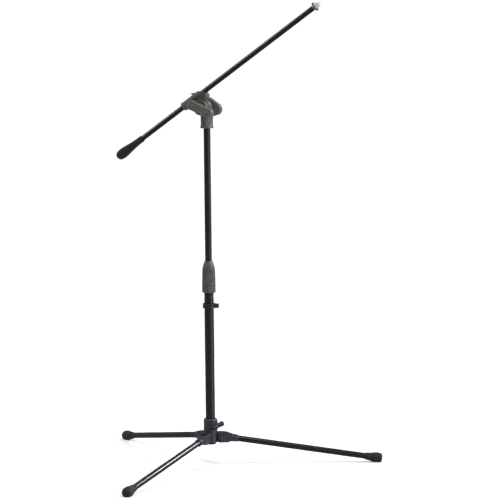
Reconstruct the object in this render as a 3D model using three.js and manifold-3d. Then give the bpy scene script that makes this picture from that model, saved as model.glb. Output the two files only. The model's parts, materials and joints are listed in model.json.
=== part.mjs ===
// Boom microphone stand: folding tripod, two-part mast and tilting boom.
// Millimetres, +Z up. The mast stands on the group's z axis; +X points along
// the right-hand leg. At the end the group is moved so that its origin lies
// at the bottom centre of its bounding box.
import * as THREE from "three";
import { mergeVertices } from "three/addons/utils/BufferGeometryUtils.js";
import Module from "manifold-3d";

const wasm = await Module();
wasm.setup();

// ---------- driving dimensions ----------
const GAP = 0.3; // between pieces that touch
const ROUND = 32; // sides of the large turned pieces
const SMALL_ROUND = 16; // sides of small turned pieces

const LOWER_TUBE = { radius: 13.3, wall: 1.2, bottom: 65.8, top: 512 };
const UPPER_TUBE = { radius: 9.5, wall: 1, bottom: 400, top: 975 };
const PLUG = { radius: 15, bottom: 61, depth: 18, edge: 1.5 };

const CLUTCH = { bottom: 494.5, split: 515.5, shoulder: 554.5, top: 584 };
const CLUTCH_NOSE = { radius: 12, below: 3 }; // inside the twist grip, up to just under the shoulder
const COLLET = { inner: 9.8, outer: 11.8, length: 18 };
const CLUTCH_RADIUS = { bottom: 19.3, shoulder: 18.2, top: 11 };
const CLUTCH_BORE = 12.4;
const CLUTCH_LIP = 15.6; // the lip starts this far above the shoulder
const CLUTCH_FLUTES = 16;
const FLUTE_DEPTH = 0.7;
const CLIP = { bottom: 450, height: 13, radius: 18.5, loopAt: 20.6, loopInner: 4.6, loopOuter: 7.2 };

const HUB = { bottom: 66, top: 134.5, radius: 19.3, bore: 13.7, bossRadius: 8, bossOut: 6 };
const LUG = { width: 9, round: 6.2 };
const LEG_PIN = { out: 26, height: 72.2, radius: 2.5, headRadius: 4.2, headThick: 1.6 };
const HUB_SCREW = { azimuth: -58.3, height: 118, radius: 3, neckRadius: 6.5 };
const HUB_KNOB = { at: 37, length: 41, radius: 7.2, turn: 18 };

const LEG_AZIMUTHS = { right: 1.7, back: 121.7, front: -118.3 };
const LEG = { height: 88, slope: 9.1, radius: 8.5, wall: 1.2, start: 38, end: 488 };
const BRACKET = { inner: 19.6, width: 24, bottom: 65.8, top: 96.5, boxEnd: 49, socketEnd: 78, socketRadius: 10.4 };
const FOOT = { length: 49, past: 5, neck: 9.9, radius: 15, widestAt: 31 };

const PIVOT = { height: 1017, radius: 27.5, far: -11, near: 7 };
const HEAD_LOBE = { out: 27, drop: 6, radius: 17, turn: 47 }; // rounded end of the head's lug
const HEAD = { bottom: 958, flangeTop: 963, top: 993, radius: 17.5, flangeRadius: 18.5 };
const BOLT = { radius: 4, headRadius: 8, far: -16.4, near: 57.5 };
const WASHER = { thick: 2, radius: 22 };

const BOOM = { azimuth: -25, elevation: 35.1, across: 32.5, near: 34, radius: 7.3, wall: 1, rear: -288, front: 440 };
const CLAMP = { radius: 23, near: 46, rear: -44, front: 37, sleeveRadius: 11.8, bore: 8.8 };
const CLAMP_SLANT = { top: [10, 49], foot: [36.5, 30.4] }; // the sleeve's front end is cut along this line
const GUSSET = { from: 20, to: 43.5, low: 6, high: 18, outer: 4, inner: 6 };
const FLAP = { from: 24, to: 29 }; // pointed flap above the boom, on the far half of the clamp
const LINER = { inner: 7.6, outer: 8.5, rear: -46, front: 9 };
const HANDLE = { length: 84, width: 28, far: 48, near: 64, bossRadius: 10.5, fall: 23, waist: 1.5, shift: 6 };
const GRIP = { rear: -299, front: -202, radius: 14.3, neck: 8.7 };
const STUD = { radius: 7.9, end: 459, flangeRadius: 9.5, flangeThick: 2 };
const TIP_RING = { radius: 13, thick: 3 };

const radians = THREE.MathUtils.degToRad;

// ---------- materials ----------
const blackSteel = new THREE.MeshStandardMaterial({ color: 0x17171a, roughness: 0.35, metalness: 0.4 });
const plastic = new THREE.MeshStandardMaterial({ color: 0x2b2b2e, roughness: 0.6, metalness: 0 });
const rubber = new THREE.MeshStandardMaterial({ color: 0x1c1c1e, roughness: 0.85, metalness: 0 });
const nylon = new THREE.MeshStandardMaterial({ color: 0x3a3a3c, roughness: 0.5, metalness: 0 });
const brightSteel = new THREE.MeshStandardMaterial({ color: 0xb8b8b4, roughness: 0.3, metalness: 1 });
const darkSteel = new THREE.MeshStandardMaterial({ color: 0x4a4a4c, roughness: 0.4, metalness: 1 });

// ---------- shape helpers ----------
// A profile is a list of [radius, along] pairs, turned about the named axis.
function turned(profile, axis = "z", sides = ROUND) {
  const points = profile.map(([radius, along]) => new THREE.Vector2(radius, along));
  const geometry = new THREE.LatheGeometry(points, sides);
  if (axis === "z") geometry.rotateX(Math.PI / 2);
  if (axis === "x") geometry.rotateZ(-Math.PI / 2);
  return geometry;
}

const rod = (radius, from, to) => [[0, from], [radius, from], [radius, to], [0, to]];

const sleeve = (inner, outer, from, to) => [
  [inner, from], [outer, from], [outer, to], [inner, to], [inner, from],
];

// An outline in x and y, made solid from one height to another along z.
function extruded(outline, from, to) {
  const shape = new THREE.Shape(outline.map(([x, y]) => new THREE.Vector2(x, y)));
  const geometry = new THREE.ExtrudeGeometry(shape, { depth: to - from, bevelEnabled: false });
  return geometry.translate(0, 0, from);
}

// An outline in x and z, made solid across y with the given width.
function sideExtruded(outline, width) {
  return extruded(outline, -width / 2, width / 2).rotateX(Math.PI / 2);
}

function block(low, high) {
  const size = high.map((value, i) => value - low[i]);
  const middle = high.map((value, i) => (value + low[i]) / 2);
  return new THREE.BoxGeometry(...size).translate(...middle);
}

function arc(centre, radius, fromDegrees, toDegrees, steps) {
  return Array.from({ length: steps + 1 }, (_, i) => {
    const angle = radians(fromDegrees + ((toDegrees - fromDegrees) * i) / steps);
    return [centre[0] + radius * Math.cos(angle), centre[1] + radius * Math.sin(angle)];
  });
}

// Manifold solid from a closed geometry, and back.
function solidOf(geometry) {
  const plain = geometry.clone();
  plain.deleteAttribute("normal");
  plain.deleteAttribute("uv");
  const merged = mergeVertices(plain);
  const corners = merged.index.array;
  const triangles = [];
  for (let i = 0; i < corners.length; i += 3) {
    const [a, b, c] = [corners[i], corners[i + 1], corners[i + 2]];
    if (a !== b && b !== c && c !== a) triangles.push(a, b, c);
  }
  return new wasm.Manifold(new wasm.Mesh({
    numProp: 3,
    vertProperties: new Float32Array(merged.attributes.position.array),
    triVerts: new Uint32Array(triangles),
  }));
}

function geometryOf(solid) {
  const mesh = solid.getMesh();
  const geometry = new THREE.BufferGeometry();
  geometry.setAttribute("position", new THREE.BufferAttribute(new Float32Array(mesh.vertProperties), 3));
  geometry.setIndex(new THREE.BufferAttribute(new Uint32Array(mesh.triVerts), 1));
  geometry.computeVertexNormals();
  return geometry;
}

// Joins the first list and takes the second list away.
function built(joined, cut = []) {
  let solid = solidOf(joined[0]);
  for (const piece of joined.slice(1)) solid = solid.add(solidOf(piece));
  for (const piece of cut) solid = solid.subtract(solidOf(piece));
  return geometryOf(solid);
}

function named(name, geometry, material) {
  const mesh = new THREE.Mesh(geometry, material);
  mesh.name = name;
  return mesh;
}

// ---------- frames ----------
// Boom frame: x along the boom to its tip, y across it upwards, z to the near
// side along the tilt axis. Head frame: x level, y up, the same z.
const level = new THREE.Vector3(Math.cos(radians(BOOM.azimuth)), Math.sin(radians(BOOM.azimuth)), 0);
const up = new THREE.Vector3(0, 0, 1);
const tiltAxis = new THREE.Vector3().crossVectors(level, up);

function pivotFrame(elevation) {
  const along = level.clone().applyAxisAngle(tiltAxis, radians(elevation));
  const across = up.clone().applyAxisAngle(tiltAxis, radians(elevation));
  const frame = new THREE.Group();
  frame.setRotationFromMatrix(new THREE.Matrix4().makeBasis(along, across, tiltAxis));
  frame.position.z = PIVOT.height;
  return frame;
}

// ---------- mast ----------
function lowerTube() {
  const { radius, wall, bottom, top } = LOWER_TUBE;
  return named("lower_tube", turned(sleeve(radius - wall, radius, bottom, top)), blackSteel);
}

function mastPlug() {
  const { radius, bottom, depth, edge } = PLUG;
  const flangeTop = LOWER_TUBE.bottom - GAP;
  const spigot = LOWER_TUBE.radius - LOWER_TUBE.wall - GAP;
  const profile = [
    [0, bottom], [radius - edge, bottom], [radius, bottom + edge], [radius, flangeTop],
    [spigot, flangeTop], [spigot, flangeTop + depth], [0, flangeTop + depth],
  ];
  return named("mast_plug", turned(profile), plastic);
}

function clutchBody() {
  const socket = LOWER_TUBE.radius + GAP;
  const bore = UPPER_TUBE.radius + GAP;
  const outer = CLUTCH_RADIUS.bottom - 0.4;
  const nose = { radius: CLUTCH_NOSE.radius, top: CLUTCH.shoulder - CLUTCH_NOSE.below };
  const seat = LOWER_TUBE.top + GAP;
  const profile = [
    [socket, CLUTCH.bottom], [outer - 1, CLUTCH.bottom], [outer, CLUTCH.bottom + 1],
    [outer, CLUTCH.split - GAP], [nose.radius, CLUTCH.split - GAP], [nose.radius, nose.top],
    [bore, nose.top], [bore, seat], [socket, seat], [socket, CLUTCH.bottom],
  ];
  return named("height_clutch_body", turned(profile), plastic);
}

function clutchCollet() {
  const { inner, outer, length } = COLLET;
  const bottom = CLUTCH.shoulder - CLUTCH_NOSE.below + GAP;
  return named("height_clutch_collet", turned(sleeve(inner, outer, bottom, bottom + length)), nylon);
}

// Outer radius of the twist grip at a height: a straight cone up to the
// shoulder, then a quarter wave down to the mouth at the upper tube.
function clutchGripRadius(height) {
  const { bottom, shoulder, top } = CLUTCH_RADIUS;
  if (height <= CLUTCH.shoulder) {
    const share = (height - CLUTCH.bottom) / (CLUTCH.shoulder - CLUTCH.bottom);
    return bottom + (shoulder - bottom) * share;
  }
  const share = (height - CLUTCH.shoulder) / (CLUTCH.top - CLUTCH.shoulder);
  return top + (shoulder - top) * Math.cos((share * Math.PI) / 2);
}

function clutchGrip() {
  const bore = CLUTCH_BORE;
  const mouth = UPPER_TUBE.radius + 0.6;
  const bottom = CLUTCH.split;
  const lip = CLUTCH.shoulder + CLUTCH_LIP;
  const heights = [bottom, bottom + 20, CLUTCH.shoulder];
  for (let i = 1; i <= 4; i++) heights.push(CLUTCH.shoulder + ((CLUTCH.top - CLUTCH.shoulder) * i) / 4);
  const outside = heights.map((height) => [clutchGripRadius(height), height]);
  const profile = [[bore, bottom], ...outside, [mouth, CLUTCH.top], [mouth, lip], [bore, lip], [bore, bottom]];
  const geometry = turned(profile, "z", CLUTCH_FLUTES * 2);
  const position = geometry.attributes.position;
  for (let i = 0; i < position.count; i++) {
    const [x, y, z] = [position.getX(i), position.getY(i), position.getZ(i)];
    const radius = Math.hypot(x, y);
    if (radius < bore + 0.5 || z > CLUTCH.shoulder + 1) continue;
    const wave = (1 - Math.cos(Math.atan2(y, x) * CLUTCH_FLUTES)) / 2;
    const scale = (radius - FLUTE_DEPTH * wave) / radius;
    position.setXY(i, x * scale, y * scale);
  }
  return named("height_clutch_grip", geometry, plastic);
}

function cableClip() {
  const { bottom, height, radius, loopAt, loopInner, loopOuter } = CLIP;
  const top = bottom + height;
  const ring = turned(rod(radius, bottom, top));
  const loop = turned(rod(loopOuter, bottom, top), "z", 24).translate(loopAt, 0, 0);
  const tubeHole = turned(rod(LOWER_TUBE.radius + GAP, bottom - 1, top + 1));
  const cableHole = turned(rod(loopInner, bottom - 1, top + 1), "z", 24).translate(loopAt, 0, 0);
  const mouth = block([loopAt - 1, 0, bottom - 1], [loopAt + 4, loopOuter + 1, top + 1]);
  return named("cable_clip", built([ring, loop], [tubeHole, cableHole, mouth]), plastic);
}

function guideBush() {
  const inner = UPPER_TUBE.radius + GAP;
  const outer = LOWER_TUBE.radius - LOWER_TUBE.wall - GAP;
  const bottom = UPPER_TUBE.bottom + 1;
  return named("guide_bush", turned(sleeve(inner, outer, bottom, bottom + 24)), nylon);
}

function upperTube() {
  const { radius, wall, bottom, top } = UPPER_TUBE;
  return named("upper_tube", turned(sleeve(radius - wall, radius, bottom, top)), blackSteel);
}

// ---------- tripod ----------
function legFrame(azimuth) {
  const frame = new THREE.Group();
  frame.rotation.z = radians(azimuth);
  return frame;
}

function hub() {
  const { bottom, top, radius, bore } = HUB;
  const collar = turned([
    [0, bottom], [radius, bottom], [radius, top - 3], [radius - 2, top], [0, top],
  ]);
  const pieces = [collar];
  const cuts = [turned(rod(bore, bottom - 1, top + 1))];
  for (const azimuth of Object.values(LEG_AZIMUTHS)) {
    const { out, height } = LEG_PIN;
    const foot = [[bore + 1, height - LUG.round], [bore + 1, height + LUG.round]];
    const lug = sideExtruded([...foot.slice(0, 1), ...arc([out, height], LUG.round, -90, 90, 8), foot[1]], LUG.width);
    pieces.push(lug.rotateZ(radians(azimuth)));
    const hole = turned(rod(LEG_PIN.radius + GAP, -15, 15), "y", SMALL_ROUND).translate(out, 0, height);
    cuts.push(hole.rotateZ(radians(azimuth)));
  }
  const boss = turned(rod(HUB.bossRadius, bore + 1, radius + HUB.bossOut), "x", SMALL_ROUND).translate(0, 0, HUB_SCREW.height);
  pieces.push(boss.rotateZ(radians(HUB_SCREW.azimuth)));
  const screwHole = turned(rod(HUB_SCREW.radius + GAP + 0.1, 0, radius + HUB.bossOut + 1), "x", SMALL_ROUND).translate(0, 0, HUB_SCREW.height);
  cuts.push(screwHole.rotateZ(radians(HUB_SCREW.azimuth)));
  return named("hub", built(pieces, cuts), plastic);
}

function hubScrewGroup() {
  const frame = legFrame(HUB_SCREW.azimuth);
  const { radius, neckRadius, height } = HUB_SCREW;
  const tip = LOWER_TUBE.radius + GAP;
  const screwEnd = HUB_KNOB.at - HUB_KNOB.radius + 2.5;
  const screw = turned(rod(radius, tip, screwEnd), "x", SMALL_ROUND).translate(0, 0, height);
  const neck = turned(rod(neckRadius, HUB.radius + HUB.bossOut + 1, HUB_KNOB.at), "x", SMALL_ROUND);
  const half = HUB_KNOB.length / 2;
  const full = HUB_KNOB.radius;
  const bar = turned([
    [0, -half], [full - 1.5, -half], [full, -half + 1.5], [full - 0.8, 0],
    [full, half - 1.5], [full - 1.5, half], [0, half],
  ], "y", SMALL_ROUND).translate(HUB_KNOB.at, 0, 0);
  const pocket = turned(rod(radius + GAP, 0, screwEnd + GAP), "x", SMALL_ROUND);
  const knob = built([bar, neck], [pocket]);
  knob.rotateX(radians(HUB_KNOB.turn)).translate(0, 0, height);
  frame.add(named("hub_screw", screw, darkSteel), named("hub_screw_knob", knob, plastic));
  return frame;
}

function legBracket() {
  const { inner, width, bottom, top, boxEnd, socketEnd, socketRadius } = BRACKET;
  const { out, height, radius } = LEG_PIN;
  const round = out - inner;
  const side = sideExtruded([
    ...arc([out, height], round, 180, 270, 5), [boxEnd, bottom], [boxEnd + 12, bottom + 4],
    [boxEnd + 12, 89], [boxEnd - 3, top - 2.5], [inner + 4, top], [inner, top - 2],
  ], width);
  const plan = extruded([
    [inner - 1, -width / 2], [boxEnd, -width / 2], [boxEnd + 13, -socketRadius],
    [boxEnd + 13, socketRadius], [boxEnd, width / 2], [inner - 1, width / 2],
  ], 0, top + 5);
  const box = geometryOf(solidOf(side).intersect(solidOf(plan)));
  const cone = onLegAxis(turned([
    [0, boxEnd - 2], [11.6, boxEnd - 2], [11.6, boxEnd + 6], [socketRadius, socketEnd - 4],
    [socketRadius - 0.8, socketEnd], [0, socketEnd],
  ], "x", 24));
  const socket = onLegAxis(turned(rod(LEG.radius + GAP, LEG.start - GAP, socketEnd + 5), "x", 24));
  const slot = block(
    [0, -LUG.width / 2 - 0.4, 0], [out + LUG.round + 1.2, LUG.width / 2 + 0.4, height + LUG.round + 0.8],
  );
  const hole = turned(rod(radius + GAP, -20, 20), "y", SMALL_ROUND).translate(out, 0, height);
  const open = LEG.radius + GAP;
  const channel = onLegAxis(block([LEG.start - 6, -open, 0], [boxEnd - 3, open, 30]));
  return built([box, cone], [socket, channel, slot, hole]);
}

// Tilts a geometry made along x down to the leg's sloping axis.
function onLegAxis(geometry) {
  return geometry.rotateY(radians(LEG.slope)).translate(0, 0, LEG.height);
}

function legPin() {
  const { out, height, radius, headRadius, headThick } = LEG_PIN;
  const half = BRACKET.width / 2 + GAP;
  const end = half + headThick;
  const profile = [
    [0, -end], [headRadius - 1.2, -end], [headRadius, -end + 1], [headRadius, -half], [radius, -half],
    [radius, half], [headRadius, half], [headRadius, end - 1], [headRadius - 1.2, end], [0, end],
  ];
  return turned(profile, "y", SMALL_ROUND).translate(out, 0, height);
}

function legTube() {
  return onLegAxis(turned(sleeve(LEG.radius - LEG.wall, LEG.radius, LEG.start, LEG.end), "x", 24));
}

function legFoot() {
  const { length, past, neck, radius, widestAt } = FOOT;
  const start = LEG.end + past + GAP - length;
  const profile = [
    [0, start], [neck, start], [neck + 0.9, start + 8], [radius - 1.4, start + 21], [radius, start + widestAt],
    [radius - 0.5, start + 40], [radius - 3, start + length - 3], [radius - 8, start + length], [0, start + length],
  ];
  const boot = onLegAxis(turned(profile, "x", 24));
  const bore = onLegAxis(turned(rod(LEG.radius + GAP, start - 1, LEG.end + GAP), "x", 24));
  const floor = block([300, -60, -60], [600, 60, 0]);
  return built([boot], [bore, floor]);
}

function legGroup(name, azimuth) {
  const frame = legFrame(azimuth);
  frame.add(
    named(`leg_bracket_${name}`, legBracket(), plastic),
    named(`leg_pin_${name}`, legPin(), darkSteel),
    named(`leg_tube_${name}`, legTube(), blackSteel),
    named(`leg_foot_${name}`, legFoot(), rubber),
  );
  return frame;
}

// ---------- head and boom ----------
function swivelHead() {
  const { bottom, flangeTop, top, radius, flangeRadius } = HEAD;
  const below = -PIVOT.height;
  const collar = turned([
    [0, bottom + below], [flangeRadius, bottom + below], [flangeRadius, flangeTop + below],
    [radius, flangeTop + 1 + below], [radius, top + below], [0, top + below],
  ], "y");
  const foot = top + below - 4;
  const lug = extruded([
    ...arc([HEAD_LOBE.out, -HEAD_LOBE.drop], HEAD_LOBE.radius, -90, HEAD_LOBE.turn, 10),
    ...arc([0, 0], PIVOT.radius, HEAD_LOBE.turn, 220, 16), [-13, foot], [13, foot],
  ], PIVOT.far, PIVOT.near);
  const tubeBore = turned(rod(UPPER_TUBE.radius + GAP, bottom + below - 1, UPPER_TUBE.top + GAP + below), "y");
  const boltHole = turned(rod(BOLT.radius + GAP, PIVOT.far - 1, PIVOT.near + 1), "z", SMALL_ROUND);
  return named("swivel_head", built([collar, lug], [tubeBore, boltHole]), plastic);
}

function clutchBolt() {
  const { radius, headRadius, far, near } = BOLT;
  const seat = PIVOT.far - GAP;
  const profile = [
    [0, far], [headRadius - 2.5, far], [headRadius, far + 2.5], [headRadius, seat],
    [radius, seat], [radius, near], [0, near],
  ];
  return named("clutch_bolt", turned(profile, "z", SMALL_ROUND), darkSteel);
}

function frictionWasher() {
  const from = PIVOT.near + GAP;
  const ring = turned(sleeve(BOLT.radius + GAP + 0.4, WASHER.radius, from, from + WASHER.thick), "z", 40);
  return named("friction_washer", ring, rubber);
}

// One half of the boom clamp between two levels along the tilt axis: a round
// plate on the pivot, a gusset and half of the sleeve that holds the boom.
function clampHalf(from, to, plateRadius, gussetFrom, gussetTo, extra = []) {
  const { across, near } = BOOM;
  const { rear, front, sleeveRadius, bore } = CLAMP;
  const { low, high, outer, inner } = GUSSET;
  const plate = turned([
    [0, from], [plateRadius, from], [plateRadius, to - 2], [plateRadius - 2, to], [0, to],
  ], "z", 40);
  const gusset = extruded([
    [-plateRadius + 1, low], [plateRadius - 1, low], [front, high], [front, across + outer],
    [rear, across + outer], [rear, across - inner],
  ], gussetFrom, gussetTo);
  const tube = turned(rod(sleeveRadius, rear, front), "x").translate(0, across, near);
  const inside = block([-90, -90, from], [90, 90, to]);
  const joined = solidOf(built([plate, gusset, tube, ...extra])).intersect(solidOf(inside));
  const [slantTop, slantFoot] = [CLAMP_SLANT.top, CLAMP_SLANT.foot];
  const ahead = extruded([slantTop, slantFoot, [80, slantFoot[1]], [80, 80], [slantTop[0], 80]], from - 1, to + 1);
  const boomHole = turned(rod(bore, -60, 60), "x").translate(0, across, near);
  const boltHole = turned(rod(BOLT.radius + GAP, from - 1, to + 1), "z", SMALL_ROUND);
  return geometryOf([ahead, boomHole, boltHole].reduce((left, cut) => left.subtract(solidOf(cut)), joined));
}

function boomClampFar() {
  const from = PIVOT.near + 2 * GAP + WASHER.thick;
  const to = BOOM.near - GAP;
  const { across } = BOOM;
  const flap = extruded([
    [26, across + 1], [20, across + 10], [7, across + 13.2], [-6, across + 19.2], [-8.5, across + 18.4],
    [-2, across + 10], [2, across + 4],
  ], FLAP.from, FLAP.to);
  return named("boom_clamp_far", clampHalf(from, to, CLAMP.radius, GUSSET.from, to, [flap]), plastic);
}

function boomClampNear() {
  const from = BOOM.near + GAP;
  return named("boom_clamp_near", clampHalf(from, CLAMP.near, CLAMP.radius - 2, from, GUSSET.to), plastic);
}

function boomLiner() {
  const { inner, outer, rear, front } = LINER;
  const ring = turned(sleeve(inner, outer, rear, front), "x");
  return named("boom_liner", ring.translate(0, BOOM.across, BOOM.near), nylon);
}

function clutchWasher() {
  const from = CLAMP.near + GAP;
  const ring = turned(sleeve(BOLT.radius + GAP, 9, from, HANDLE.far - GAP), "z", SMALL_ROUND);
  return named("clutch_washer", ring, brightSteel);
}

function tiltHandle() {
  const { length, width, far, near, bossRadius, fall, waist: dip, shift } = HANDLE;
  const end = length / 2 - width / 2;
  const waist = width / 2 - dip;
  const outline = [
    ...arc([end + shift, 0], width / 2, -80, 80, 8), [shift, waist],
    ...arc([shift - end, 0], width / 2, 100, 260, 8), [shift, -waist],
  ];
  const bar = extruded(outline, far + 3, near);
  const boss = turned(rod(bossRadius, far, far + 4), "z", 24);
  const pocket = turned(rod(BOLT.radius + GAP, far - 1, BOLT.near + GAP), "z", SMALL_ROUND);
  const handle = built([bar, boss], [pocket]);
  handle.rotateZ(radians(-fall - BOOM.elevation));
  return named("tilt_handle", handle, plastic);
}

function onBoomAxis(profile, sides) {
  return turned(profile, "x", sides).translate(0, BOOM.across, BOOM.near);
}

function boomTube() {
  const { radius, wall, rear, front } = BOOM;
  return named("boom_tube", onBoomAxis(sleeve(radius - wall, radius, rear, front), 24), blackSteel);
}

function boomGrip() {
  const { rear, front, radius, neck } = GRIP;
  const bore = BOOM.radius + GAP;
  const profile = [
    [0, rear], [radius - 7, rear], [radius - 2.6, rear + 5], [radius - 0.5, rear + 13], [radius, rear + 22],
    [radius - 0.9, rear + 36], [neck + 2, rear + 64], [neck + 0.4, rear + 88], [neck, front],
    [bore, front], [bore, BOOM.rear - GAP], [0, BOOM.rear - GAP],
  ];
  return named("boom_grip", onBoomAxis(profile, ROUND), rubber);
}

function tipStud() {
  const { radius, end, flangeRadius, flangeThick } = STUD;
  const spigot = BOOM.radius - BOOM.wall - GAP;
  const flange = BOOM.front + GAP;
  const profile = [
    [0, BOOM.front - 20], [spigot, BOOM.front - 20], [spigot, flange], [flangeRadius, flange],
    [flangeRadius, flange + flangeThick], [radius, flange + flangeThick], [radius, end - 1.2],
    [radius - 1.2, end], [0, end],
  ];
  return named("tip_stud", onBoomAxis(profile, 24), brightSteel);
}

function tipRing() {
  const from = BOOM.front + STUD.flangeThick + 2 * GAP;
  const ring = onBoomAxis(sleeve(STUD.radius + GAP, TIP_RING.radius, from, from + TIP_RING.thick), ROUND);
  return named("tip_ring", ring, plastic);
}

// ---------- assembly ----------
const stand = new THREE.Group();
stand.add(lowerTube(), mastPlug(), clutchBody(), clutchCollet(), clutchGrip());
stand.add(cableClip(), guideBush(), upperTube(), hub(), hubScrewGroup());
for (const [name, azimuth] of Object.entries(LEG_AZIMUTHS)) stand.add(legGroup(name, azimuth));

const headFrame = pivotFrame(0);
headFrame.add(swivelHead(), clutchBolt(), frictionWasher());
const boomFrame = pivotFrame(BOOM.elevation);
boomFrame.add(boomClampFar(), boomClampNear(), boomLiner(), clutchWasher(), tiltHandle());
boomFrame.add(boomTube(), boomGrip(), tipStud(), tipRing());
stand.add(headFrame, boomFrame);

stand.updateMatrixWorld(true);
const box = new THREE.Box3().setFromObject(stand, true);
const centre = box.getCenter(new THREE.Vector3());
stand.position.set(-centre.x, -centre.y, -box.min.z);
stand.updateMatrixWorld(true);

export default stand;
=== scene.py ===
"""Boom microphone stand: the looks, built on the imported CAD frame.

Every piece is modelled in millimetres, in a local frame of the part it belongs to (mast, leg, head
or boom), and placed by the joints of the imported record. Shapes are turned, extruded or moulded
meshes.
"""
import json
import math

import bpy
from mathutils import Matrix, Vector


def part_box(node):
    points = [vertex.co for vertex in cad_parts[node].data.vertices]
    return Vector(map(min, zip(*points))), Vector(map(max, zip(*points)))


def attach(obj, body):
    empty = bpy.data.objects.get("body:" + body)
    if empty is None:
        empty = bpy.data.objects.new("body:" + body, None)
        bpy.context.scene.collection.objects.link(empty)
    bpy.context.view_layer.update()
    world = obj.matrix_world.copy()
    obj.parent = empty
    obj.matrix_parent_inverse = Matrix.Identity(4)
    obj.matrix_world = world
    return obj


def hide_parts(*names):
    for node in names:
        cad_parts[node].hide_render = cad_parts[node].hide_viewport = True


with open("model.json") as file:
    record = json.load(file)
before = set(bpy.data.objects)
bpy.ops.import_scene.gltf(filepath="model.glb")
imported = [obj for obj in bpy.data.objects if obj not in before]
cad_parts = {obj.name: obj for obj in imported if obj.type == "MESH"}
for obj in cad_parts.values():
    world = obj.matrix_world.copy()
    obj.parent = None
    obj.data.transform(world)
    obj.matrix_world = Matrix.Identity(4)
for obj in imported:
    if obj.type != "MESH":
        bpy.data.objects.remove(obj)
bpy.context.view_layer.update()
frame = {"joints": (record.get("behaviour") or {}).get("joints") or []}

MM = 0.001
GAP = 0.3  # mm between pieces that touch
SIDES = 64  # of a plain turned piece
TINY = 1e-6
STRAIGHT = math.radians(168)  # corners flatter than this aren't rounded
SHARP = math.radians(38)  # edges sharper than this aren't shaded smooth
FLOOR_HALF_SIZE = 1.9  # m
FLOOR_GLOW = 0.24
ROOM_LIGHT = 0.2
BACKDROP_LIGHT = 1.05
joints = {joint["name"]: joint for joint in frame["joints"]}


# ---------- local frames, from the joints ----------
def placed(origin, x, y, z):
    """Matrix of a frame with these axes, its origin in metres."""
    matrix = Matrix((x, y, z)).transposed().to_4x4()
    matrix.translation = origin
    return matrix


def joint_axis(name):
    return Vector(joints[name]["axis"]).normalized()


UP = Vector((0, 0, 1))
mast_foot = Vector(joints["mast_turn"]["pos_m"])
mast_foot.z = 0
pivot = Vector(joints["boom_tilt"]["pos_m"])
tilt_axis = joint_axis("boom_tilt")
boom_axis = joint_axis("boom_slide")
level_axis = UP.cross(tilt_axis)

MAST = Matrix.Translation(mast_foot)
HEAD = placed(pivot, level_axis, UP, tilt_axis)
BOOM = placed(pivot, boom_axis, tilt_axis.cross(boom_axis), tilt_axis)
boom_foot = BOOM.inverted() @ Vector(joints["boom_roll"]["pos_m"]) / MM
screw_axis = joint_axis("hub_screw_turn")
SCREW = placed(Vector(joints["hub_screw_turn"]["pos_m"]), screw_axis, UP.cross(screw_axis), UP)


def leg_frame(name):
    across = joint_axis(f"leg_fold_{name}")
    return placed(mast_foot, across.cross(UP), across, UP)


def heights(node):
    """Lowest and highest z of a CAD node, in millimetres."""
    low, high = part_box(node)
    return low.z / MM, high.z / MM


# ---------- mesh makers, in millimetres ----------
def mesh_from(verts, faces):
    mesh = bpy.data.meshes.new("shape")
    mesh.from_pydata([tuple(v) for v in verts], [], faces)
    mesh.validate()
    return mesh


def turned_to(mesh, axis):
    """Turns a mesh made about z so that it lies about another axis."""
    if axis == "x":
        mesh.transform(Matrix.Rotation(math.pi / 2, 4, "Y"))
    if axis == "y":
        mesh.transform(Matrix.Rotation(-math.pi / 2, 4, "X"))
    return mesh


def rounded(profile, size, steps=4):
    """A [radius, along] profile with its corners rounded off by up to size."""
    closed = profile[0] == profile[-1]
    points = [Vector(p) for p in (profile[:-1] if closed else profile)]
    result = []
    for i, corner in enumerate(points):
        if not closed and i in (0, len(points) - 1):
            result.append(corner)
            continue
        before = points[i - 1] - corner
        after = points[(i + 1) % len(points)] - corner
        if min(before.length, after.length) < TINY or before.angle(after) > STRAIGHT:
            result.append(corner)
            continue
        start = corner + before.normalized() * min(size, before.length * 0.45)
        end = corner + after.normalized() * min(size, after.length * 0.45)
        for step in range(steps + 1):
            t = step / steps
            result.append(start * (1 - t) ** 2 + corner * 2 * t * (1 - t) + end * t ** 2)
    outline = [(p.x, p.y) for p in result]
    return outline + outline[:1] if closed else outline


def turned(profile, axis="z", sides=SIDES, shape=None):
    """Mesh of revolution. shape(radius, along, angle) may change the radius of a point."""
    closed = profile[0] == profile[-1]
    verts, faces, rings = [], [], []
    for radius, along in profile[:-1] if closed else profile:
        if radius < TINY:
            rings.append([len(verts)] * sides)
            verts.append((0, 0, along))
            continue
        rings.append(list(range(len(verts), len(verts) + sides)))
        for side in range(sides):
            angle = math.tau * side / sides
            reach = shape(radius, along, angle) if shape else radius
            verts.append((reach * math.cos(angle), reach * math.sin(angle), along))
    pairs = list(zip(rings, rings[1:])) + ([(rings[-1], rings[0])] if closed else [])
    for low, high in pairs:
        for side in range(sides):
            after = (side + 1) % sides
            corners = [low[side], low[after], high[after], high[side]]
            faces.append(list(dict.fromkeys(corners)))
    return turned_to(mesh_from(verts, faces), axis)


def rod(radius, start, end):
    return [[0, start], [radius, start], [radius, end], [0, end]]


def sleeve(inner, outer, start, end):
    return [[inner, start], [outer, start], [outer, end], [inner, end], [inner, start]]


def along_steps(start, end, step):
    count = max(1, round((end - start) / step))
    return [start + (end - start) * i / count for i in range(count + 1)]


def fluted(count, depth, start, end, fade=4):
    """A shape function: count hollow flutes between two levels, fading out at both ends."""
    def shape(radius, along, angle):
        inside = min(along - start, end - along)
        if inside <= 0:
            return radius
        fading = math.sin(min(1, inside / fade) * math.pi / 2)
        return radius - depth * fading * (0.5 - 0.5 * math.cos(count * angle)) ** 0.7
    return shape


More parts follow.
